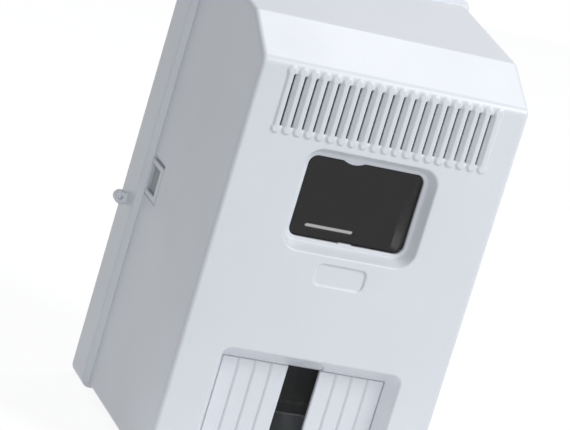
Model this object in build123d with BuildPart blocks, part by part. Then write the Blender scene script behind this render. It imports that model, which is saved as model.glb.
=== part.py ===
from build123d import *
import os

os.makedirs("parts", exist_ok=True)

# Distribution board for one electricity meter and one short row of modular breakers: a deep
# moulded hood clipped over a shallow wall box. Millimetres, X to the right, Z up and Y towards
# the wall. The wall plane is Y = 0 and the origin is the centre of the back. Depths are counted
# from the hood's front face, drops downwards from the top edge of that face.

# Hood
hood_width = 147.0
hood_depth = 112.5
front_height = 222.0
brow_depth = 30.8
brow_rise = 16.4
crown_rise = 7.0
wall = 2.5
edge_radius = 2.2
brow_radius = 4.5
crown_radius = 2.0
mouth_radius = 0.8
seam_radius = 0.6

# Wall box
box_depth = 26.0
box_flare = 2.9
flare_depth = 3.2
box_corner = 5.0
back_radius = 1.0
lip_length = 3.5
lip_wall = 1.5
lip_clearance = 0.6

# Air vents
vent_ribs = 20
vent_pitch = 6.0
vent_rib_width = 3.8
vent_rib_height = 0.8
vent_rib_length = 35.2
vent_drop = 18.9
vent_bulb_radius = 2.6
vent_slot_length = 27.0
vent_slit_width = 1.8
rib_chamfer = 0.7

# Meter window
window_drop = 66.8
window_width = 64.2
window_height = 43.6
window_ledge = 1.9
window_side_taper = 2.7
window_top_taper = 3.5
window_depth = 6.7
window_corner = 5.0
ledge_thickness = 2.0
funnel_wall = 2.0
ledge_tab_chord = 11.8
ledge_tab_drop = 1.6
ledge_tab_offset = -8.0
nib_width = 7.0
nib_height = 0.5

# Window pane and its collar
pane_thickness = 2.0
pane_overlap = 2.6
pane_clearance = 0.2
collar_wall = 1.6
clip_width = 8.0
clip_reach = 0.8
clip_depth = 1.4

# Bare name recess
name_width = 27.2
name_height = 11.1
name_depth = 1.0
name_radius = 3.0
name_drop = 104.1

# Module recess and blanking plates
half_module = 9.0
row_half_modules = 10
blank_half_modules = 4
row_rise = 40.9
row_opening_height = 46.0
row_depth = 9.3
row_side_taper = 4.9
row_top_taper = 7.6
row_corner = 6.0
row_clearance = 0.4
rebate_ledge = 0.6
blank_thickness = 2.4
score_depth = 0.8
score_width = 1.4
leg_width = 6.0
leg_thickness = 1.2
leg_length = 9.0
leg_clearance = 0.3
leg_bump = 0.2
leg_bump_length = 2.0

# Finger dent in the slope above the open module
dent_radius = 9.5
dent_depth = 0.7

# Side latches
latch_drop = 101.0
latch_height = 19.6
latch_reach = 20.9
latch_thickness = 1.4
latch_gap_top = 2.0
latch_gap = 0.3
latch_pocket_depth = 2.4
latch_pocket_wall = 2.0
latch_notch_margin = 4.0
latch_window_height = 14.2
latch_window_length = 15.4
latch_window_setback = 0.8
hook_height = 0.8
hook_ramp = 4.0
hook_clearance = 0.5

# Knock-outs in the hood's bottom
knockout_radius = 11.0
knockout_pitch = 38.0
knockout_groove = 0.8
knockout_depth = 1.3
knockout_setback = 62.0

# Sealing eyes on the wall box
eye_radius = 3.5
eye_hole_radius = 1.2
eye_root = 0.5
eye_thickness = 4.4
eye_drop = 120.6
eye_setback = 6.7

# Wall fixing and rear cable windows
fixing_inset_x = 14.4
fixing_inset_z = 29.6
fixing_hole_radius = 2.6
fixing_boss_radius = 6.0
fixing_boss_height = 4.0
cable_window_width = 38.0
cable_window_height = 12.0
cable_window_inset = 24.0
cable_window_drop = 118.5
cable_window_corner = 3.0

# Meter plate on its pillars
plate_depth = 100.0
plate_thickness = 2.0
plate_top_drop = 4.9
plate_row_gap = 30.1
plate_clearance = 0.8
plate_corner = 3.0
plate_screw_inset_x = 18.2
plate_screw_inset_z = 8.0
pillar_radius = 4.5
pilot_radius = 1.5
pilot_depth = 14.0
tie_slot_length = 28.6
tie_slot_height = 2.2
tie_slot_x = 29.0
tie_slot_drop = 108.2
fixing_slot_width = 4.6
hanger_slot_length = 36.0
hanger_slot_inset = 17.2
foot_slot_length = 26.0
foot_slot_x = 30.0
foot_slot_inset = 10.8

# Meter fixings
hanger_width = 14.0
hanger_height = 20.0
hanger_thickness = 1.5
hanger_hook = 5.0
fixing_play = 0.1
meter_screw_radius = 2.0
meter_head_radius = 4.0
meter_head_height = 2.6
meter_nut_side = 8.0
meter_nut_thickness = 3.2
meter_screw_tail = 2.0
driver_slot_width = 1.0
driver_slot_depth = 1.0

# Module rail
rail_height = 35.0
rail_hat_height = 27.0
rail_hat_depth = 7.5
rail_thickness = 1.0
rail_end_gap = 15.0
rail_setback = 44.5
rail_slot_inset = 10.0
rail_slot_length = 12.0
rail_slot_width = 4.6

# Rail brackets
bracket_width = 16.0
bracket_height = 25.0
bracket_wall = 2.4
bracket_pad = 8.0
bracket_foot = 3.0
bracket_foot_height = 48.0
foot_boss_height = 6.0
foot_boss_radius = 4.0
foot_screw_z = 36.0

# Small screws
screw_radius = 1.45
screw_hole_radius = 1.8
screw_head_radius = 3.2
screw_head_height = 2.0
screw_reach = 7.0

# Neutral and earth terminal bars
bar_width = 7.0
bar_height = 9.0
bar_pitch = 6.5
neutral_ways = 5
earth_ways = 4
bar_end = 2.0
bar_side_gap = 4.2
bar_between_gap = 1.6
bar_rise = 10.8
bar_screw_radius = 1.7
bar_screw_hole_radius = 1.8
bar_screw_slot = 0.6
bar_screw_depth = 2.2
bar_screw_proud = 3.3
bar_cable_radius = 2.2
holder_wall = 1.8
holder_floor = 6.0
holder_ear = 6.5
holder_ear_thickness = 3.0
holder_boss_radius = 3.2
holder_play = 0.1
holder_grip = 2.0

# Places worked out from the sizes above
total_depth = hood_depth + box_depth
hood_height = front_height + brow_rise + crown_rise
bottom_z = -hood_height / 2
front_top_z = bottom_z + front_height
front_y = -total_depth
seam_y = -box_depth
half_inside = hood_width / 2 - wall
floor_depth = total_depth - wall
through = 4 * wall


def at_depth(depth):
    # Plane parallel to the front face, facing forwards, at a depth behind it.
    return Plane.XZ.offset(total_depth - depth)


def drop(distance):
    # Height of something that lies a distance below the front face's top edge.
    return front_top_z - distance


def depth_y(depth):
    return depth - total_depth


def side_block(inset, tail, mode):
    # Block with the hood's side outline, set in by a wall and run on past the seam by a tail.
    slope = crown_rise / (hood_depth - brow_depth)
    width = hood_width - 2 * inset
    with BuildSketch(Plane.YZ.offset(-width / 2)) as outline:
        with BuildLine():
            Polyline(
                (front_y, bottom_z),
                (front_y, front_top_z),
                (front_y + brow_depth, front_top_z + brow_rise),
                (seam_y + tail, hood_height / 2 + slope * tail),
                (seam_y + tail, bottom_z),
                close=True,
            )
        make_face()
        if inset:
            offset(amount=-inset, kind=Kind.INTERSECTION)
    extrude(outline.sketch, amount=width, mode=mode)


def funnel(near_size, near_radius, far_size, far_radius, near_depth, far_depth, z, mode):
    # Tapered rectangular well between two depths.
    with BuildSketch(at_depth(near_depth)) as near:
        with Locations((0, z)):
            RectangleRounded(near_size[0], near_size[1], near_radius)
    with BuildSketch(at_depth(far_depth)) as far:
        with Locations((0, z)):
            RectangleRounded(far_size[0], far_size[1], far_radius)
    loft([near.sketch.face(), far.sketch.face()], mode=mode)


def block(width, height, x, z, near_depth, far_depth, radius=0.0, mode=Mode.ADD):
    # Upright rectangular block between two depths, its corners rounded if a radius is given.
    with BuildSketch(at_depth(near_depth)) as outline:
        with Locations((x, z)):
            if radius:
                RectangleRounded(width, height, radius)
            else:
                Rectangle(width, height)
    extrude(outline.sketch, amount=near_depth - far_depth, mode=mode)


def round_post(radius, x, z, near_depth, far_depth, mode=Mode.ADD):
    # Round post or hole along the depth.
    with BuildSketch(at_depth(near_depth)) as outline:
        with Locations((x, z)):
            Circle(radius)
    extrude(outline.sketch, amount=near_depth - far_depth, mode=mode)


def slotted_screw(x, z, seat_depth, shank, head, head_height, length):
    # Cheese-head screw with a driver slot, its head's underside at the seat.
    round_post(shank, x, z, seat_depth, seat_depth + length)
    round_post(head, x, z, seat_depth - head_height, seat_depth)
    block(
        2 * head + driver_slot_width,
        driver_slot_width,
        x,
        z,
        seat_depth - head_height,
        seat_depth - head_height + driver_slot_depth,
        mode=Mode.SUBTRACT,
    )


def finish(part, name):
    part.label = name
    export_step(part, os.path.join("parts", name + ".step"))


# Sizes shared by the window, its pane and its collar
window_z = drop(window_drop)
slope_end = (window_width + 2 * window_ledge, window_height + 2 * window_ledge)
window_mouth = (slope_end[0] + 2 * window_side_taper, slope_end[1] + 2 * window_top_taper)
window_mouth_corner = window_corner + window_side_taper + window_ledge
window_back = window_depth + ledge_thickness
pane_size = (window_width + 2 * pane_overlap, window_height + 2 * pane_overlap)
collar_inside = (pane_size[0] + 2 * pane_clearance, pane_size[1] + 2 * pane_clearance)

# Sizes shared by the module recess and the blanking plates
row_z = bottom_z + row_rise
row_width = row_half_modules * half_module
rebate_size = (row_width + 2 * row_clearance, row_opening_height + 2 * rebate_ledge)
row_mouth = (rebate_size[0] + 2 * row_side_taper, rebate_size[1] + 2 * row_top_taper)
row_opening = (rebate_size[0] - 2 * rebate_ledge, row_opening_height)
rebate_back = row_depth + blank_thickness
row_back = rebate_back + ledge_thickness

# Sizes shared by the latches of the hood and the wall box
latch_z = drop(latch_drop)
pocket_top = latch_height / 2 + latch_gap_top
pocket_bottom = latch_height / 2 + latch_gap
pocket_height = pocket_top + pocket_bottom
pocket_z = latch_z + (pocket_top - pocket_bottom) / 2
pocket_front = hood_depth - latch_reach - latch_gap
pocket_floor_x = hood_width / 2 - latch_pocket_depth
latch_window_far = hood_depth - latch_window_setback
latch_window_near = latch_window_far - latch_window_length
latch_outer_x = hood_width / 2
latch_inner_x = latch_outer_x - latch_thickness

# Hood: outer skin with rounded edges and an open back
with BuildPart() as hood:
    side_block(0, 0, Mode.ADD)
    brow_edge = hood.edges().filter_by(Axis.X).group_by(Axis.Y)[0].sort_by(Axis.Z)[-1]
    fillet(brow_edge, radius=brow_radius)
    crown_edge = [
        edge
        for edge in hood.edges().filter_by(Axis.X)
        if abs(edge.center().Y - (front_y + brow_depth)) < wall and edge.center().Z > front_top_z
    ]
    fillet(crown_edge, radius=crown_radius)
    sharp = []
    for side in (Axis.X, -Axis.X):
        side_face = hood.faces().sort_by(side)[-1]
        sharp += [e for e in side_face.edges() if abs(e.center().Y - seam_y) > wall]
    sharp += hood.edges().filter_by(Axis.X).group_by(Axis.Z)[0].sort_by(Axis.Y)[:1]
    fillet(sharp, radius=edge_radius)
    # Cavity, one wall inside the skin, and a rounded rear edge along the seam
    side_block(wall, through, Mode.SUBTRACT)
    rear_face = hood.faces().sort_by(Axis.Y)[-1]
    fillet(rear_face.outer_wire().edges(), radius=seam_radius)
    # Raised ribs with round ends, their flanks sloping
    vent_z = drop(vent_drop)
    with BuildSketch(at_depth(wall / 2)):
        with GridLocations(vent_pitch, 0, vent_ribs, 1):
            with Locations((0, vent_z)):
                Rectangle(vent_rib_width, vent_rib_length - 2 * vent_bulb_radius)
            bulb_z = vent_rib_length / 2 - vent_bulb_radius
            with Locations((0, vent_z + bulb_z), (0, vent_z - bulb_z)):
                Circle(vent_bulb_radius)
    extrude(amount=wall / 2 + vent_rib_height)
    rib_tops = hood.faces().filter_by(Axis.Y).group_by(Axis.Y)[0]
    chamfer(rib_tops.edges(), length=rib_chamfer)
    # Louvres between the ribs: a slit beside each rib and a ramp up to the next one's crest
    crest = vent_rib_width / 2 - rib_chamfer
    louvre = vent_pitch - 2 * crest
    ramp_foot = louvre - vent_slit_width - vent_rib_height
    with BuildSketch(Plane.XY.offset(vent_z - vent_slot_length / 2)):
        with Locations((0, front_y)):
            with GridLocations(vent_pitch, 0, vent_ribs - 1, 1):
                Polygon(
                    (-louvre / 2, -wall),
                    (-louvre / 2, 2 * wall),
                    (-louvre / 2 + vent_slit_width, 2 * wall),
                    (-louvre / 2 + vent_slit_width, ramp_foot),
                    (louvre / 2, -vent_rib_height),
                    (louvre / 2, -wall),
                    align=None,
                )
    extrude(amount=vent_slot_length, mode=Mode.SUBTRACT)
    # Window: funnel, pane collar, sloping well, opening
    funnel(
        (window_mouth[0] + 2 * funnel_wall, window_mouth[1] + 2 * funnel_wall),
        window_mouth_corner + funnel_wall,
        (collar_inside[0] + 2 * collar_wall, collar_inside[1] + 2 * collar_wall),
        window_corner + funnel_wall,
        wall / 2,
        window_back,
        window_z,
        Mode.ADD,
    )
    block(
        collar_inside[0] + 2 * collar_wall,
        collar_inside[1] + 2 * collar_wall,
        0,
        window_z,
        window_back,
        window_back + pane_thickness + clip_depth,
        radius=window_corner + funnel_wall,
    )
    block(
        collar_inside[0],
        collar_inside[1],
        0,
        window_z,
        window_back,
        window_back + pane_thickness + clip_depth,
        radius=window_corner,
        mode=Mode.SUBTRACT,
    )
    for side in (-1, 1):
        clip_z = window_z + side * (collar_inside[1] - clip_reach) / 2
        block(
            clip_width,
            clip_reach,
            0,
            clip_z,
            window_back + pane_thickness + fixing_play,
            window_back + pane_thickness + clip_depth,
        )
    funnel(
        window_mouth,
        window_mouth_corner,
        slope_end,
        window_corner + window_ledge,
        0,
        window_depth,
        window_z,
        Mode.SUBTRACT,
    )
    block(
        window_width,
        window_height,
        0,
        window_z,
        window_depth - wall / 2,
        window_back,
        radius=window_corner,
        mode=Mode.SUBTRACT,
    )
    # Half-round tab on the top ledge and a low nib on the bottom one
    tab_radius = ledge_tab_chord**2 / (8 * ledge_tab_drop) + ledge_tab_drop / 2
    with BuildSketch(at_depth(window_depth)):
        with Locations((ledge_tab_offset, window_z + window_height / 2 - ledge_tab_drop + tab_radius)):
            Circle(tab_radius)
        with Locations((ledge_tab_offset, window_z + window_height / 2)):
            Rectangle(ledge_tab_chord, 2 * ledge_tab_drop, mode=Mode.INTERSECT)
        with Locations((0, window_z - window_height / 2)):
            Rectangle(nib_width, 2 * nib_height)
    extrude(amount=-ledge_thickness)
    # Bare name recess
    block(
        name_width,
        name_height,
        0,
        drop(name_drop),
        0,
        name_depth,
        radius=name_radius,
        mode=Mode.SUBTRACT,
    )
    # Module recess: funnel, sloping well, rebate for the blanking plates, opening
    funnel(
        (row_mouth[0] + 2 * funnel_wall, row_mouth[1] + 2 * funnel_wall),
        row_corner + funnel_wall,
        (rebate_size[0] + 2 * funnel_wall, rebate_size[1] + 2 * funnel_wall),
        funnel_wall,
        wall / 2,
        row_back,
        row_z,
        Mode.ADD,
    )
    funnel(
        row_mouth,
        row_corner,
        rebate_size,
        rebate_ledge,
        0,
        row_depth,
        row_z,
        Mode.SUBTRACT,
    )
    block(
        rebate_size[0],
        rebate_size[1],
        0,
        row_z,
        row_depth,
        rebate_back,
        mode=Mode.SUBTRACT,
    )
    block(
        row_opening[0],
        row_opening[1],
        0,
        row_z,
        rebate_back,
        row_back,
        mode=Mode.SUBTRACT,
    )
    # Finger dent in the upper slope
    slope_foot = (0, depth_y(row_depth), row_z + rebate_size[1] / 2)
    slope_face = Plane(origin=slope_foot, x_dir=(1, 0, 0), z_dir=(0, -row_top_taper, -row_depth))
    with BuildSketch(slope_face):
        Circle(dent_radius)
    extrude(amount=-dent_depth, mode=Mode.SUBTRACT)
    # Rounded edges round the window, the name recess and the module recess
    front_face = hood.faces().filter_by(Axis.Y).group_by(Axis.Y)[1].sort_by(SortBy.AREA)[-1]
    mouths = [
        edge
        for wire in front_face.inner_wires()
        if wire.bounding_box().max.Z < vent_z - vent_rib_length / 2
        for edge in wire.edges()
    ]
    fillet(mouths, radius=mouth_radius)
    # Latch pockets with their hooks, one on each side
    for side in (-1, 1):
        pad_depth = pocket_floor_x - half_inside + latch_pocket_wall
        block(
            pad_depth,
            pocket_height + 2 * latch_pocket_wall,
            side * (half_inside - latch_pocket_wall + pad_depth / 2),
            pocket_z,
            pocket_front - latch_pocket_wall,
            hood_depth,
        )
        block(
            2 * latch_pocket_depth,
            pocket_height,
            side * hood_width / 2,
            pocket_z,
            pocket_front,
            hood_depth,
            mode=Mode.SUBTRACT,
        )
        hook_near = depth_y(latch_window_near + hook_clearance)
        hook_far = depth_y(latch_window_far - hook_clearance)
        with BuildSketch(Plane.XY.offset(latch_z - latch_window_height / 2 + hook_clearance)):
            with BuildLine():
                Polyline(
                    (side * (pocket_floor_x - wall / 2), hook_near),
                    (side * (pocket_floor_x + hook_height), hook_near),
                    (side * (pocket_floor_x + hook_height), hook_far - hook_ramp),
                    (side * pocket_floor_x, hook_far),
                    (side * (pocket_floor_x - wall / 2), hook_far),
                    close=True,
                )
            make_face()
        extrude(amount=latch_window_height - 2 * hook_clearance)
    # Knock-outs scored into the bottom
    with BuildSketch(Plane.XY.offset(bottom_z)):
        with Locations((0, depth_y(knockout_setback))):
            with GridLocations(knockout_pitch, 0, 3, 1):
                Circle(knockout_radius)
                Circle(knockout_radius - knockout_groove, mode=Mode.SUBTRACT)
    extrude(amount=knockout_depth, mode=Mode.SUBTRACT)
finish(hood.part, "hood")

# Window pane, seated on the back of the window ledge inside the collar
with BuildPart() as window_pane:
    block(
        pane_size[0],
        pane_size[1],
        0,
        window_z,
        window_back,
        window_back + pane_thickness,
        radius=window_corner,
    )
finish(window_pane.part, "window_pane")


def blanking_plate(side):
    # Snap-in plate of break-off half modules, to one side of the open module.
    blank_width = blank_half_modules * half_module
    plate_x = side * (row_width - blank_width) / 2
    blank_height = rebate_size[1] - 2 * leg_clearance
    with BuildPart() as plate:
        block(blank_width, blank_height, plate_x, row_z, row_depth, rebate_back)
        with BuildSketch(Plane.XY.offset(row_z - rebate_size[1])):
            with Locations((plate_x, depth_y(row_depth))):
                with GridLocations(half_module, 0, blank_half_modules - 1, 1):
                    Polygon(
                        (-score_width / 2, 0),
                        (score_width / 2, 0),
                        (0, score_depth),
                        align=None,
                    )
        extrude(amount=2 * rebate_size[1], mode=Mode.SUBTRACT)
        for end in (-1, 1):
            leg_z = row_z + end * (row_opening[1] / 2 - leg_clearance - leg_thickness / 2)
            bump_z = row_z + end * (row_opening[1] / 2 - leg_clearance)
            for half in (-1, 1):
                leg_x = plate_x + half * half_module
                block(leg_width, leg_thickness, leg_x, leg_z, rebate_back, rebate_back + leg_length)
                block(
                    leg_width,
                    2 * leg_bump,
                    leg_x,
                    bump_z,
                    row_back + leg_clearance,
                    row_back + leg_clearance + leg_bump_length,
                )
    return plate.part


finish(blanking_plate(-1), "blanking_plate_left")
finish(blanking_plate(1), "blanking_plate_right")

# Places shared by the wall box, the meter plate, the brackets and the terminal bars
plate_top = drop(plate_top_drop)
plate_bottom = row_z + plate_row_gap
plate_height = plate_top - plate_bottom
plate_z = (plate_top + plate_bottom) / 2
plate_back = plate_depth + plate_thickness
plate_width = 2 * (half_inside - plate_clearance)
plate_screw_x = plate_width / 2 - plate_screw_inset_x
plate_screw_z = (plate_bottom + plate_screw_inset_z, plate_top - plate_screw_inset_z)
rim_size = (hood_width + 2 * box_flare, hood_height + 2 * box_flare)
rim_inside = (rim_size[0] - 2 * wall, rim_size[1] - 2 * wall)
fixing_x = rim_size[0] / 2 - fixing_inset_x
fixing_z = rim_size[1] / 2 - fixing_inset_z
cable_window_x = half_inside - cable_window_inset
rail_length = 2 * (half_inside - rail_end_gap)
rail_slot_x = rail_length / 2 - rail_slot_inset
bracket_seat = floor_depth - foot_boss_height
rail_front = row_depth + rail_setback
rail_back = rail_front + rail_hat_depth
bar_z = bottom_z + bar_rise


def bar_length(ways):
    return ways * bar_pitch + 2 * bar_end


def holder_length(ways):
    return bar_length(ways) + 2 * (holder_play + holder_wall + holder_ear)


def holder_screw_x(x, ways):
    # Places of a terminal holder's two screws.
    reach = (holder_length(ways) - holder_ear) / 2
    return (x - reach, x + reach)


neutral_left = -rim_inside[0] / 2 + bar_side_gap
neutral_bar_x = neutral_left + holder_length(neutral_ways) / 2
earth_left = neutral_left + holder_length(neutral_ways) + bar_between_gap
earth_bar_x = earth_left + holder_length(earth_ways) / 2
holder_screws = holder_screw_x(neutral_bar_x, neutral_ways) + holder_screw_x(earth_bar_x, earth_ways)

# Wall box: flared rim, flat back, pillars and bosses
with BuildPart() as wall_box:
    funnel(
        (hood_width, hood_height),
        edge_radius,
        rim_size,
        box_corner,
        hood_depth,
        hood_depth + flare_depth,
        0,
        Mode.ADD,
    )
    block(
        rim_size[0],
        rim_size[1],
        0,
        0,
        hood_depth + flare_depth,
        total_depth,
        radius=box_corner,
    )
    back_face = wall_box.faces().sort_by(Axis.Y)[-1]
    fillet(back_face.edges(), radius=back_radius)
    # Locating lip that enters the hood
    lip_size = (2 * (half_inside - lip_clearance), hood_height - 2 * (wall + lip_clearance))
    lip_inside = (lip_size[0] - 2 * lip_wall, lip_size[1] - 2 * lip_wall)
    flare_back = hood_depth + flare_depth
    block(lip_size[0], lip_size[1], 0, 0, hood_depth - lip_length, hood_depth, radius=edge_radius)
    # Hollow, narrow at the lip and wide behind the flare
    block(
        lip_inside[0],
        lip_inside[1],
        0,
        0,
        hood_depth - lip_length,
        flare_back,
        radius=edge_radius - lip_wall,
        mode=Mode.SUBTRACT,
    )
    funnel(
        lip_inside,
        edge_radius - lip_wall,
        rim_inside,
        box_corner - wall,
        flare_back,
        flare_back + flare_depth,
        0,
        Mode.SUBTRACT,
    )
    block(
        rim_inside[0],
        rim_inside[1],
        0,
        0,
        flare_back + flare_depth,
        floor_depth,
        radius=box_corner - wall,
        mode=Mode.SUBTRACT,
    )
    # The lip stops short of the hood's latch pockets
    for side in (-1, 1):
        block(
            hood_width / 2 - lip_inside[0] / 2 + latch_pocket_wall,
            pocket_height + 2 * latch_notch_margin,
            side * (hood_width / 2 + lip_inside[0] / 2 - latch_pocket_wall) / 2,
            pocket_z,
            hood_depth - 2 * lip_length,
            hood_depth,
            mode=Mode.SUBTRACT,
        )
    # Spring latches that reach forward into the hood's pockets
    for side in (-1, 1):
        block(
            latch_thickness,
            latch_height,
            side * (latch_inner_x + latch_outer_x) / 2,
            latch_z,
            hood_depth - latch_reach,
            hood_depth + flare_depth / 2,
        )
        block(
            2 * wall,
            latch_window_height,
            side * hood_width / 2,
            latch_z,
            latch_window_near,
            latch_window_far,
            mode=Mode.SUBTRACT,
        )
    # Sealing eyes
    eye_x = rim_size[0] / 2 + eye_radius - eye_root
    root_length = eye_x - lip_size[0] / 2
    with BuildSketch(at_depth(total_depth - eye_setback)):
        with Locations((-eye_x, drop(eye_drop)), (eye_x, drop(eye_drop))):
            Circle(eye_radius)
        for side in (-1, 1):
            with Locations((side * (eye_x - root_length / 2), drop(eye_drop))):
                Rectangle(root_length, 2 * (eye_radius - eye_root))
        Rectangle(rim_inside[0], rim_inside[1], mode=Mode.SUBTRACT)
        with Locations((-eye_x, drop(eye_drop)), (eye_x, drop(eye_drop))):
            Circle(eye_hole_radius, mode=Mode.SUBTRACT)
    extrude(amount=eye_thickness)
    # Bosses and holes of the wall fixing
    for x in (-fixing_x, fixing_x):
        for z in (-fixing_z, fixing_z):
            round_post(fixing_boss_radius, x, z, floor_depth - fixing_boss_height, floor_depth)
            round_post(
                fixing_hole_radius,
                x,
                z,
                floor_depth - fixing_boss_height,
                total_depth,
                mode=Mode.SUBTRACT,
            )
    # Rear cable windows
    for side in (-1, 1):
        block(
            cable_window_width,
            cable_window_height,
            side * cable_window_x,
            drop(cable_window_drop),
            floor_depth,
            total_depth,
            radius=cable_window_corner,
            mode=Mode.SUBTRACT,
        )
    # Pillars of the meter plate
    for x in (-plate_screw_x, plate_screw_x):
        for z in plate_screw_z:
            round_post(pillar_radius, x, z, plate_back, floor_depth)
            round_post(pilot_radius, x, z, plate_back, plate_back + pilot_depth, mode=Mode.SUBTRACT)
    # Bosses of the rail brackets and of the terminal holders
    for x in (-rail_slot_x, rail_slot_x):
        for z in (row_z - foot_screw_z / 2, row_z + foot_screw_z / 2):
            round_post(foot_boss_radius, x, z, bracket_seat, floor_depth)
            round_post(pilot_radius, x, z, bracket_seat, floor_depth, mode=Mode.SUBTRACT)
    for x in holder_screws:
        round_post(holder_boss_radius, x, bar_z, bracket_seat, floor_depth)
        round_post(pilot_radius, x, bar_z, bracket_seat, floor_depth, mode=Mode.SUBTRACT)
finish(wall_box.part, "wall_box")

# Meter plate with its slots, notched at the latches
hanger_z = plate_top - hanger_slot_inset
foot_z = plate_bottom + foot_slot_inset
with BuildPart() as meter_plate:
    block(
        plate_width,
        plate_height,
        0,
        plate_z,
        plate_depth,
        plate_back,
        radius=plate_corner,
    )
    with BuildSketch(at_depth(plate_depth)):
        for side in (-1, 1):
            with Locations((side * plate_width / 2, pocket_z)):
                Rectangle(2 * latch_notch_margin, pocket_height + 2 * latch_notch_margin)
            with Locations((side * tie_slot_x, drop(tie_slot_drop))):
                SlotOverall(tie_slot_length, tie_slot_height)
            with Locations((side * foot_slot_x, foot_z)):
                SlotOverall(foot_slot_length, fixing_slot_width)
            for z in plate_screw_z:
                with Locations((side * plate_screw_x, z)):
                    Circle(screw_hole_radius)
        with Locations((0, hanger_z)):
            SlotOverall(hanger_slot_length, fixing_slot_width, rotation=90)
    extrude(amount=-plate_thickness, mode=Mode.SUBTRACT)
finish(meter_plate.part, "meter_plate")

with BuildPart() as meter_plate_screws:
    for x in (-plate_screw_x, plate_screw_x):
        for z in plate_screw_z:
            slotted_screw(
                x,
                z,
                plate_depth,
                screw_radius,
                screw_head_radius,
                screw_head_height,
                plate_thickness + screw_reach,
            )
finish(meter_plate_screws.part, "meter_plate_screws")

# Meter fixings: a hanger at the top and two foot screws, each clamped through its slot
nut_front = plate_back + fixing_play
nut_back = nut_front + meter_nut_thickness


def meter_nut(x, z):
    with BuildPart() as nut:
        block(meter_nut_side, meter_nut_side, x, z, nut_front, nut_back)
        round_post(meter_screw_radius + fixing_play, x, z, nut_front, nut_back, mode=Mode.SUBTRACT)
    return nut.part


def meter_screw(x, z, seat_depth):
    with BuildPart() as screw:
        slotted_screw(
            x,
            z,
            seat_depth,
            meter_screw_radius,
            meter_head_radius,
            meter_head_height,
            nut_back - seat_depth + meter_screw_tail,
        )
    return screw.part


hanger_front = plate_depth - fixing_play - hanger_thickness
with BuildPart() as meter_hanger:
    with BuildSketch(Plane.YZ.offset(-hanger_width / 2)):
        with BuildLine():
            hook_bottom = hanger_z + hanger_height / 2
            Polyline(
                (depth_y(hanger_front), hanger_z - hanger_height / 2),
                (depth_y(hanger_front), hook_bottom - hanger_thickness),
                (depth_y(hanger_front - hanger_hook), hook_bottom - hanger_thickness),
                (depth_y(hanger_front - hanger_hook), hook_bottom + hanger_hook),
                (depth_y(hanger_front - hanger_hook + hanger_thickness), hook_bottom + hanger_hook),
                (depth_y(hanger_front - hanger_hook + hanger_thickness), hook_bottom),
                (depth_y(hanger_front + hanger_thickness), hook_bottom),
                (depth_y(hanger_front + hanger_thickness), hanger_z - hanger_height / 2),
                close=True,
            )
        make_face()
    extrude(amount=hanger_width)
    round_post(
        meter_screw_radius + fixing_play,
        0,
        hanger_z,
        hanger_front,
        hanger_front + hanger_thickness,
        mode=Mode.SUBTRACT,
    )
finish(meter_hanger.part, "meter_hanger")
finish(meter_screw(0, hanger_z, hanger_front), "hanger_screw")
finish(meter_nut(0, hanger_z), "hanger_nut")
for side_name, side in (("left", -1), ("right", 1)):
    finish(meter_screw(side * foot_slot_x, foot_z, plate_depth - fixing_play), "foot_screw_" + side_name)
    finish(meter_nut(side * foot_slot_x, foot_z), "foot_nut_" + side_name)

# Module rail: folded top-hat strip with a fixing slot at each end
with BuildPart() as module_rail:
    with BuildSketch(Plane.YZ.offset(-rail_length / 2)):
        with BuildLine():
            flange = rail_height / 2
            hat = rail_hat_height / 2
            Polyline(
                (depth_y(rail_front), row_z + flange),
                (depth_y(rail_front + rail_thickness), row_z + flange),
                (depth_y(rail_front + rail_thickness), row_z + hat),
                (depth_y(rail_back), row_z + hat),
                (depth_y(rail_back), row_z - hat),
                (depth_y(rail_front + rail_thickness), row_z - hat),
                (depth_y(rail_front + rail_thickness), row_z - flange),
                (depth_y(rail_front), row_z - flange),
                (depth_y(rail_front), row_z - hat + rail_thickness),
                (depth_y(rail_back - rail_thickness), row_z - hat + rail_thickness),
                (depth_y(rail_back - rail_thickness), row_z + hat - rail_thickness),
                (depth_y(rail_front), row_z + hat - rail_thickness),
                close=True,
            )
        make_face()
    extrude(amount=rail_length)
    with BuildSketch(at_depth(rail_back - rail_thickness)):
        with Locations((-rail_slot_x, row_z), (rail_slot_x, row_z)):
            SlotOverall(rail_slot_length, rail_slot_width)
    extrude(amount=-rail_thickness, mode=Mode.SUBTRACT)
finish(module_rail.part, "module_rail")

with BuildPart() as rail_screws:
    for x in (-rail_slot_x, rail_slot_x):
        slotted_screw(
            x,
            row_z,
            rail_back - rail_thickness,
            screw_radius,
            screw_head_radius,
            screw_head_height,
            rail_thickness + screw_reach,
        )
finish(rail_screws.part, "rail_screws")


def rail_bracket(side):
    # Moulded stand: a U-shaped column between a solid head and a foot plate.
    x = side * rail_slot_x
    with BuildPart() as bracket:
        block(bracket_width, bracket_height, x, row_z, rail_back, bracket_seat)
        block(
            bracket_width - 2 * bracket_wall,
            bracket_height,
            x,
            row_z + bracket_wall,
            rail_back + bracket_pad,
            bracket_seat - bracket_foot,
            mode=Mode.SUBTRACT,
        )
        block(
            bracket_width,
            bracket_foot_height,
            x,
            row_z,
            bracket_seat - bracket_foot,
            bracket_seat,
            radius=bracket_foot,
        )
        round_post(pilot_radius, x, row_z, rail_back, rail_back + bracket_pad, mode=Mode.SUBTRACT)
        for z in (row_z - foot_screw_z / 2, row_z + foot_screw_z / 2):
            round_post(
                screw_hole_radius, x, z, bracket_seat - bracket_foot, bracket_seat, mode=Mode.SUBTRACT
            )
    return bracket.part


finish(rail_bracket(-1), "rail_bracket_left")
finish(rail_bracket(1), "rail_bracket_right")

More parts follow.
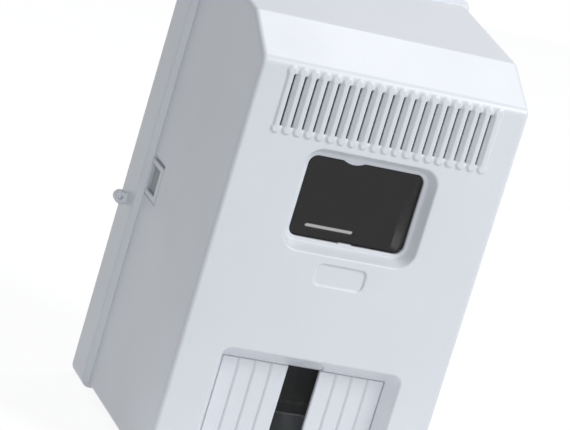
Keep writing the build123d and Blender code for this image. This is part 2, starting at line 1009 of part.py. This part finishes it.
with BuildPart() as bracket_screws:
    for x in (-rail_slot_x, rail_slot_x):
        for z in (row_z - foot_screw_z / 2, row_z + foot_screw_z / 2):
            slotted_screw(
                x,
                z,
                bracket_seat - bracket_foot,
                screw_radius,
                screw_head_radius,
                screw_head_height,
                bracket_foot + foot_boss_height - fixing_play,
            )
finish(bracket_screws.part, "bracket_screws")


def terminal_bar(x, ways):
    # Square brass bar with a cable hole and a clamping screw hole for each way.
    with BuildPart() as bar:
        block(bar_length(ways), bar_width, x, bar_z, bar_front, bar_back)
        with BuildSketch(Plane.XY.offset(bar_z - bar_width / 2)):
            with Locations((x, depth_y((bar_front + bar_back) / 2))):
                with GridLocations(bar_pitch, 0, ways, 1):
                    Circle(bar_cable_radius)
        extrude(amount=bar_width, mode=Mode.SUBTRACT)
        with BuildSketch(at_depth(bar_front)):
            with Locations((x, bar_z)):
                with GridLocations(bar_pitch, 0, ways, 1):
                    Circle(bar_screw_hole_radius)
        extrude(amount=-bar_screw_depth, mode=Mode.SUBTRACT)
    return bar.part


def terminal_screws(x, ways):
    # Slotted grub screws, one for each way.
    with BuildPart() as screws:
        with BuildSketch(at_depth(bar_front - bar_screw_proud)):
            with Locations((x, bar_z)):
                with GridLocations(bar_pitch, 0, ways, 1):
                    Circle(bar_screw_radius)
        extrude(amount=-(bar_screw_proud + bar_screw_depth))
        with BuildSketch(at_depth(bar_front - bar_screw_proud)):
            with Locations((x, bar_z)):
                with GridLocations(bar_pitch, 0, ways, 1):
                    Rectangle(2 * bar_screw_hole_radius, bar_screw_slot)
        extrude(amount=-driver_slot_depth, mode=Mode.SUBTRACT)
    return screws.part


def terminal_holder(x, ways):
    # Coloured carrier: a trough round the bar's foot and an ear with a screw hole at each end.
    trough = holder_length(ways) - 2 * holder_ear
    trough_height = bar_width + 2 * (holder_play + holder_wall)
    with BuildPart() as holder:
        block(trough, trough_height, x, bar_z, bar_back - holder_grip, bracket_seat)
        block(
            holder_length(ways),
            trough_height,
            x,
            bar_z,
            bracket_seat - holder_ear_thickness,
            bracket_seat,
            radius=holder_wall,
        )
        block(
            trough - 2 * holder_wall,
            trough_height - 2 * holder_wall,
            x,
            bar_z,
            bar_back - holder_grip,
            bar_back,
            mode=Mode.SUBTRACT,
        )
        for screw_x in holder_screw_x(x, ways):
            round_post(
                screw_hole_radius,
                screw_x,
                bar_z,
                bracket_seat - holder_ear_thickness,
                bracket_seat,
                mode=Mode.SUBTRACT,
            )
    return holder.part


bar_back = bracket_seat - holder_floor
bar_front = bar_back - bar_height
for bar_name, bar_x, ways in (
    ("neutral", neutral_bar_x, neutral_ways),
    ("earth", earth_bar_x, earth_ways),
):
    finish(terminal_holder(bar_x, ways), bar_name + "_bar_holder")
    finish(terminal_bar(bar_x, ways), bar_name + "_bar")
    finish(terminal_screws(bar_x, ways), bar_name + "_bar_screws")

with BuildPart() as holder_fixing_screws:
    for x in holder_screws:
        slotted_screw(
            x,
            bar_z,
            bracket_seat - holder_ear_thickness,
            screw_radius,
            screw_head_radius,
            screw_head_height,
            holder_ear_thickness + foot_boss_height - fixing_play,
        )
finish(holder_fixing_screws.part, "holder_screws")
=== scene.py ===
# Light grey distribution board, seen from its left front and a little above.
import math
import bpy
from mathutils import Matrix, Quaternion, Vector


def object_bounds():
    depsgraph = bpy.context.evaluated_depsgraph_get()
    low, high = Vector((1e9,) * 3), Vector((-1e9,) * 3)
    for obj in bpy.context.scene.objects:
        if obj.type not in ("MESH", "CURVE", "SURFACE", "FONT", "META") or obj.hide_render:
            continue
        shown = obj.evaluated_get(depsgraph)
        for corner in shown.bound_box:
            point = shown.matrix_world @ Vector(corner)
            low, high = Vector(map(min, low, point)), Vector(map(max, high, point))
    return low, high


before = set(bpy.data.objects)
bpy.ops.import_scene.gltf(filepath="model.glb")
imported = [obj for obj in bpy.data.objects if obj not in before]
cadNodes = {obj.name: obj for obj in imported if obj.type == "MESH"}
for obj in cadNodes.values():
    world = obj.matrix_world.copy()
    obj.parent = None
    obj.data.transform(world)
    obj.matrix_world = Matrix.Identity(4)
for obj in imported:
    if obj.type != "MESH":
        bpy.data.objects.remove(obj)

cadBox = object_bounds()
mmPerMetre = 1000  # sizes in millimetres below, the scene is in metres
print("frame loaded:", len(cadNodes), "nodes")


def toLinear(hexColour):
    # sRGB hex to the linear numbers that shaders take, by the sRGB curve
    parts = [int(hexColour[i:i + 2], 16) / 255 for i in (1, 3, 5)]
    return [p / 12.92 if p <= 0.04045 else ((p + 0.055) / 1.055) ** 2.4 for p in parts] + [1.0]


def addNode(tree, kind, settings=None, links=None):
    # a new node: inputs or properties set, then inputs linked; an input goes by name or number
    node = tree.nodes.new(kind)
    for name, value in (settings or {}).items():
        if isinstance(name, int) or name in node.inputs:
            node.inputs[name].default_value = value
        else:
            setattr(node, name, value)
    for name, source in (links or {}).items():
        tree.links.new(source, node.inputs[name])
    return node


def newMaterial(name):
    # a material with only its shader and output, and the object's own coordinates
    material = bpy.data.materials.new(name)
    material.use_nodes = True
    tree = material.node_tree
    tree.nodes.clear()
    shader = addNode(tree, "ShaderNodeBsdfPrincipled")
    addNode(tree, "ShaderNodeOutputMaterial", {}, {"Surface": shader.outputs["BSDF"]})
    place = addNode(tree, "ShaderNodeTexCoord").outputs["Object"]
    return material, tree, shader, place


# The view: long lens, turned to the left front, rolled as the picture is
view = {
    "azimuth": -22.366,
    "elevation": 14.641,
    "roll": 16.781,
    "distance": 1.7909,
    "aim": (0.0151, -0.0076, -0.0146),
    "lens": 208.4,
    "sensor": 36.0,
    "clipStart": 0.05,
    "clipEnd": 50.0,
}


def placeCamera():
    azimuth = math.radians(view["azimuth"])
    elevation = math.radians(view["elevation"])
    back = Vector((
        math.sin(azimuth) * math.cos(elevation),
        -math.cos(azimuth) * math.cos(elevation),
        math.sin(elevation),
    ))
    data = bpy.data.cameras.new("camera")
    data.lens = view["lens"]
    data.sensor_width = view["sensor"]
    data.clip_start = view["clipStart"]
    data.clip_end = view["clipEnd"]
    camera = bpy.data.objects.new("camera", data)
    bpy.context.scene.collection.objects.link(camera)
    camera.rotation_mode = "QUATERNION"
    turned = (-back).to_track_quat("-Z", "Y")
    camera.rotation_quaternion = turned @ Quaternion((0, 0, 1), math.radians(view["roll"]))
    camera.location = Vector(view["aim"]) + back * view["distance"]
    bpy.context.scene.camera = camera


placeCamera()
print("camera placed")

# Studio: a white floor just under the board that keeps a faint shadow, and a pale even sky; the
# camera, every gloss and the pane see both as white. A large soft lamp stands at the upper right,
# a softbox above and behind lies in the brow's gloss, and a lamp behind the camera reaches into
# the module gap
studio = {
    "floorCorners": ((-0.08, -0.5), (1.5, -0.5), (-0.5, 1.15), (1.5, 1.15)),
    "floorGap": 0.0002,
    "floorColour": "#F4F5F6",
    "floorGlow": 0.75,
    "whiteColour": "#FFFFFF",
    "floorWhiteLevel": 1.15,
    "skyColour": "#F2F5FA",
    "skyLevel": 0.36,
    "skyGlow": 1.0,
    "skyWhiteLevel": 1.0,
    "lamps": {
        "key": {"place": (0.8, -0.86, 0.95), "size": 0.6, "power": 12.0},
        "softbox": {"place": (0.66, 0.52, 1.6), "size": 0.5, "power": 4.6},
        "fill": {"place": (-0.8, -1.98, 0.54), "size": 0.3, "power": 10.0},
    },
}


def whiteShare(tree, cameraShare):
    # how white a ray finds it: cameraShare straight from the camera, all of it off a gloss or
    # through the pane, none for the light that falls on the board
    rays = addNode(tree, "ShaderNodeLightPath")
    share = addNode(tree, "ShaderNodeMath", {"operation": "MULTIPLY", 1: cameraShare}, {
        0: rays.outputs["Is Camera Ray"],
    })
    for ray in ("Is Glossy Ray", "Is Transmission Ray"):
        share = addNode(tree, "ShaderNodeMath", {"operation": "MAXIMUM"}, {
            0: share.outputs[0],
            1: rays.outputs[ray],
        })
    return share.outputs[0]


def makeFloor():
    bpy.ops.object.select_all(action="DESELECT")
    bpy.ops.mesh.primitive_plane_add(size=1, location=(0, 0, cadBox[0].z - studio["floorGap"]))
    floor = bpy.context.object
    floor.name = "floor"
    for vertex, corner in zip(floor.data.vertices, studio["floorCorners"]):
        vertex.co.xy = corner
    bpy.ops.object.transform_apply(location=True, rotation=False, scale=False)
    material = bpy.data.materials.new("matt white card")
    material.use_nodes = True
    tree = material.node_tree
    tree.nodes.clear()
    card = addNode(tree, "ShaderNodeBsdfDiffuse", {"Color": toLinear(studio["floorColour"])})
    glow = addNode(tree, "ShaderNodeEmission", {
        "Color": toLinear(studio["whiteColour"]),
        "Strength": studio["floorWhiteLevel"],
    })
    both = addNode(tree, "ShaderNodeMixShader", {}, {
        0: whiteShare(tree, studio["floorGlow"]),
        1: card.outputs[0],
        2: glow.outputs[0],
    })
    addNode(tree, "ShaderNodeOutputMaterial", {}, {"Surface": both.outputs[0]})
    floor.data.materials.append(material)


def makeWorld():
    world = bpy.data.worlds.new("studio")
    bpy.context.scene.world = world
    world.use_nodes = True
    tree = world.node_tree
    tree.nodes.clear()
    sky = addNode(tree, "ShaderNodeBackground", {
        "Color": toLinear(studio["skyColour"]),
        "Strength": studio["skyLevel"],
    })
    white = addNode(tree, "ShaderNodeBackground", {
        "Color": toLinear(studio["whiteColour"]),
        "Strength": studio["skyWhiteLevel"],
    })
    both = addNode(tree, "ShaderNodeMixShader", {}, {
        0: whiteShare(tree, studio["skyGlow"]),
        1: sky.outputs[0],
        2: white.outputs[0],
    })
    addNode(tree, "ShaderNodeOutputWorld", {}, {"Surface": both.outputs[0]})


def placeLamps():
    # each lamp looks at the middle of the board
    for name, values in studio["lamps"].items():
        lamp = bpy.data.lights.new(name, "AREA")
        lamp.shape = "SQUARE"
        lamp.size = values["size"]
        lamp.energy = values["power"]
        holder = bpy.data.objects.new(name, lamp)
        bpy.context.scene.collection.objects.link(holder)
        holder.location = values["place"]
        holder.rotation_euler = (-Vector(holder.location)).to_track_quat("-Z", "Y").to_euler()


makeFloor()
makeWorld()
placeLamps()
bpy.context.scene.view_settings.view_transform = "Standard"
print("studio lit")

# Glossy moulded ABS: pale blue-grey, faint flow clouding, a very shallow ripple in the gloss and
# softly rounded edges; the hooks' faces are matt, and their colour is painted darker as shade
glossyAbs = {
    "colour": "#DCE0E6",
    "cloudColour": "#D6DADF",
    "cloudMm": 45.0,
    "cloudDetail": 2.0,
    "roughness": (0.31, 0.39),
    "ior": 1.53,
    "rippleMm": 1.6,
    "rippleDetail": 1.0,
    "rippleHeightMm": 0.004,
    "rippleStrength": 0.6,
    "softEdgeMm": 1.5,
    "softEdgeSamples": 12,
    # painted shade: the darker grey that the hooks' faces take in their pocket
    "hookPaintedShadeColour": "#A6ABAE",
    "hookRoughness": 0.7,
    "hookMiddleMm": (72.5, -34.5, -1.7),
    "hookReachMm": (2.0, 7.25, 6.65),
}


def makeGlossyAbs():
    look = glossyAbs
    material, tree, shader, place = newMaterial("injection moulded ABS")
    shader.inputs["IOR"].default_value = look["ior"]
    cloud = addNode(tree, "ShaderNodeTexNoise", {
        "Scale": mmPerMetre / look["cloudMm"],
        "Detail": look["cloudDetail"],
    }, {"Vector": place})
    tint = addNode(tree, "ShaderNodeMix", {
        "data_type": "RGBA",
        6: toLinear(look["colour"]),
        7: toLinear(look["cloudColour"]),
    }, {0: cloud.outputs["Fac"]})
    wear = addNode(tree, "ShaderNodeMapRange", {
        "To Min": look["roughness"][0],
        "To Max": look["roughness"][1],
    }, {"Value": cloud.outputs["Fac"]})

    # the hooks: a box around each one's outer face, the same on both sides of the board, where
    # shade is painted into the colour and the gloss is made matt
    axes = addNode(tree, "ShaderNodeSeparateXYZ", {}, {0: place})
    outward = addNode(tree, "ShaderNodeMath", {"operation": "ABSOLUTE"}, {0: axes.outputs[0]})
    within = []
    for source, middle, reach in zip(
        (outward.outputs[0], axes.outputs[1], axes.outputs[2]),
        look["hookMiddleMm"],
        look["hookReachMm"],
    ):
        near = addNode(tree, "ShaderNodeMath", {
            "operation": "COMPARE",
            1: middle / mmPerMetre,
            2: reach / mmPerMetre,
        }, {0: source})
        within.append(near.outputs[0])
    plan = addNode(tree, "ShaderNodeMath", {"operation": "MULTIPLY"}, {0: within[0], 1: within[1]})
    hook = addNode(tree, "ShaderNodeMath", {"operation": "MULTIPLY"}, {
        0: plan.outputs[0],
        1: within[2],
    })
    # painted shade: the hooks' faces get the darker grey over the ABS tint
    hookShadedTint = addNode(tree, "ShaderNodeMix", {
        "data_type": "RGBA",
        7: toLinear(look["hookPaintedShadeColour"]),
    }, {0: hook.outputs[0], 6: tint.outputs[2]})
    tree.links.new(hookShadedTint.outputs[2], shader.inputs["Base Color"])
    dull = addNode(tree, "ShaderNodeMix", {3: look["hookRoughness"]}, {
        0: hook.outputs[0],
        2: wear.outputs["Result"],
    })
    tree.links.new(dull.outputs[0], shader.inputs["Roughness"])

    edge = addNode(tree, "ShaderNodeBevel", {
        "samples": look["softEdgeSamples"],
        "Radius": look["softEdgeMm"] / mmPerMetre,
    })
    ripple = addNode(tree, "ShaderNodeTexNoise", {
        "Scale": mmPerMetre / look["rippleMm"],
        "Detail": look["rippleDetail"],
    }, {"Vector": place})
    bump = addNode(tree, "ShaderNodeBump", {
        "Strength": look["rippleStrength"],
        "Distance": look["rippleHeightMm"] / mmPerMetre,
    }, {"Height": ripple.outputs["Fac"], "Normal": edge.outputs["Normal"]})
    tree.links.new(bump.outputs["Normal"], shader.inputs["Normal"])
    return material


# Smoke-tinted polycarbonate: moulded smooth, so what lies behind it shows dim and sharp; the
# index is under the resin's 1.58, because the real pane mirrors little
smokedPane = {
    "colour": "#A2A0A2",
    "transmission": 1.0,
    "roughness": (0.02, 0.05),
    "ior": 1.38,
    "hazeMm": 18.0,
    "hazeDetail": 2.0,
}


def makeSmokedPane():
    look = smokedPane
    material, tree, shader, place = newMaterial("smoke-tinted polycarbonate")
    shader.inputs["Base Color"].default_value = toLinear(look["colour"])
    shader.inputs["Transmission Weight"].default_value = look["transmission"]
    shader.inputs["IOR"].default_value = look["ior"]
    haze = addNode(tree, "ShaderNodeTexNoise", {
        "Scale": mmPerMetre / look["hazeMm"],
        "Detail": look["hazeDetail"],
    }, {"Vector": place})
    spread = addNode(tree, "ShaderNodeMapRange", {
        "To Min": look["roughness"][0],
        "To Max": look["roughness"][1],
    }, {"Value": haze.outputs["Fac"]})
    tree.links.new(spread.outputs["Result"], shader.inputs["Roughness"])
    return material


# Black insulating board: pressed, dull, with a fine fibrous grain
pressedBoard = {
    "colour": "#30282C",
    "grainColour": "#3E363A",
    "grainMm": 0.9,
    "grainDetail": 3.0,
    "grainHeightMm": 0.01,
    "grainStrength": 0.5,
    "roughness": 0.8,
    "specular": 0.25,
}


def makePressedBoard():
    look = pressedBoard
    material, tree, shader, place = newMaterial("pressed insulating board")
    grain = addNode(tree, "ShaderNodeTexNoise", {
        "Scale": mmPerMetre / look["grainMm"],
        "Detail": look["grainDetail"],
    }, {"Vector": place})
    tint = addNode(tree, "ShaderNodeMix", {
        "data_type": "RGBA",
        6: toLinear(look["colour"]),
        7: toLinear(look["grainColour"]),
    }, {0: grain.outputs["Fac"]})
    tree.links.new(tint.outputs[2], shader.inputs["Base Color"])
    shader.inputs["Roughness"].default_value = look["roughness"]
    shader.inputs["Specular IOR Level"].default_value = look["specular"]
    bump = addNode(tree, "ShaderNodeBump", {
        "Strength": look["grainStrength"],
        "Distance": look["grainHeightMm"] / mmPerMetre,
    }, {"Height": grain.outputs["Fac"]})
    tree.links.new(bump.outputs["Normal"], shader.inputs["Normal"])
    return material


# Metals: zinc plate looks patchy grey and faintly brushed, drawn brass has lines along the bar;
# the real lines are under 0.1 mm, too fine to show, so they are drawn about 1 mm wide
zincPlate = {
    "name": "bright zinc plate",
    "colour": "#B4B8BC",
    "patchColour": "#C3C4BE",
    "patchMm": 5.0,
    "patchDetail": 2.0,
    "lineMm": 1.1,
    "lineStretch": 14.0,
    "lineDetail": 2.0,
    "lineHeightMm": 0.004,
    "lineStrength": 0.5,
    "roughness": (0.28, 0.44),
}
drawnBrass = {
    "name": "drawn brass",
    "colour": "#C9A45C",
    "patchColour": "#B9924E",
    "patchMm": 7.0,
    "patchDetail": 2.0,
    "lineMm": 1.0,
    "lineStretch": 20.0,
    "lineDetail": 2.0,
    "lineHeightMm": 0.005,
    "lineStrength": 0.5,
    "roughness": (0.24, 0.4),
}


def makeMetal(look):
    material, tree, shader, place = newMaterial(look["name"])
    shader.inputs["Metallic"].default_value = 1.0
    patch = addNode(tree, "ShaderNodeTexNoise", {
        "Scale": mmPerMetre / look["patchMm"],
        "Detail": look["patchDetail"],
    }, {"Vector": place})
    tint = addNode(tree, "ShaderNodeMix", {
        "data_type": "RGBA",
        6: toLinear(look["colour"]),
        7: toLinear(look["patchColour"]),
    }, {0: patch.outputs["Fac"]})
    tree.links.new(tint.outputs[2], shader.inputs["Base Color"])
    along = addNode(tree, "ShaderNodeMapping", {
        "Scale": (1 / look["lineStretch"], 1, 1),
    }, {"Vector": place})
    lines = addNode(tree, "ShaderNodeTexNoise", {
        "Scale": mmPerMetre / look["lineMm"],
        "Detail": look["lineDetail"],
    }, {"Vector": along.outputs[0]})
    dull = addNode(tree, "ShaderNodeMapRange", {
        "To Min": look["roughness"][0],
        "To Max": look["roughness"][1],
    }, {"Value": lines.outputs["Fac"]})
    tree.links.new(dull.outputs["Result"], shader.inputs["Roughness"])
    bump = addNode(tree, "ShaderNodeBump", {
        "Strength": look["lineStrength"],
        "Distance": look["lineHeightMm"] / mmPerMetre,
    }, {"Height": lines.outputs["Fac"]})
    tree.links.new(bump.outputs["Normal"], shader.inputs["Normal"])
    return material


# Coloured moulded polyamide: matt, with a spark-eroded grain; the real grain of 0.1 mm would not
# show, so it is drawn 1 mm wide
polyamide = {
    "colours": {"blue": "#1F55A4", "green": "#2F8A45"},
    "grainMm": 1.0,
    "grainDetail": 2.0,
    "grainLevel": (0.9, 1.08),
    "grainHeightMm": 0.02,
    "grainStrength": 0.5,
    "roughness": 0.48,
}


def makePolyamide(colour):
    look = polyamide
    material, tree, shader, place = newMaterial(colour + " polyamide")
    grain = addNode(tree, "ShaderNodeTexNoise", {
        "Scale": mmPerMetre / look["grainMm"],
        "Detail": look["grainDetail"],
    }, {"Vector": place})
    level = addNode(tree, "ShaderNodeMapRange", {
        "To Min": look["grainLevel"][0],
        "To Max": look["grainLevel"][1],
    }, {"Value": grain.outputs["Fac"]})
    shade = addNode(tree, "ShaderNodeHueSaturation", {
        "Color": toLinear(look["colours"][colour]),
    }, {"Value": level.outputs["Result"]})
    tree.links.new(shade.outputs["Color"], shader.inputs["Base Color"])
    shader.inputs["Roughness"].default_value = look["roughness"]
    bump = addNode(tree, "ShaderNodeBump", {
        "Strength": look["grainStrength"],
        "Distance": look["grainHeightMm"] / mmPerMetre,
    }, {"Height": grain.outputs["Fac"]})
    tree.links.new(bump.outputs["Normal"], shader.inputs["Normal"])
    return material


# Which pieces get which finish
finishes = (
    (makeGlossyAbs(), (
        "hood", "wall_box", "blanking_plate_left", "blanking_plate_right",
        "rail_bracket_left", "rail_bracket_right",
    )),
    (makeSmokedPane(), ("window_pane",)),
    (makePressedBoard(), ("meter_plate",)),
    (makeMetal(zincPlate), (
        "meter_plate_screws", "meter_hanger", "hanger_screw", "hanger_nut",
        "foot_screw_left", "foot_screw_right", "foot_nut_left", "foot_nut_right",
        "module_rail", "rail_screws", "bracket_screws",
        "neutral_bar_screws", "earth_bar_screws", "holder_screws",
    )),
    (makeMetal(drawnBrass), ("neutral_bar", "earth_bar")),
    (makePolyamide("blue"), ("neutral_bar_holder",)),
    (makePolyamide("green"), ("earth_bar_holder",)),
)
for material, names in finishes:
    for name in names:
        cadNodes[name].data.materials.clear()
        cadNodes[name].data.materials.append(material)
print("materials given")
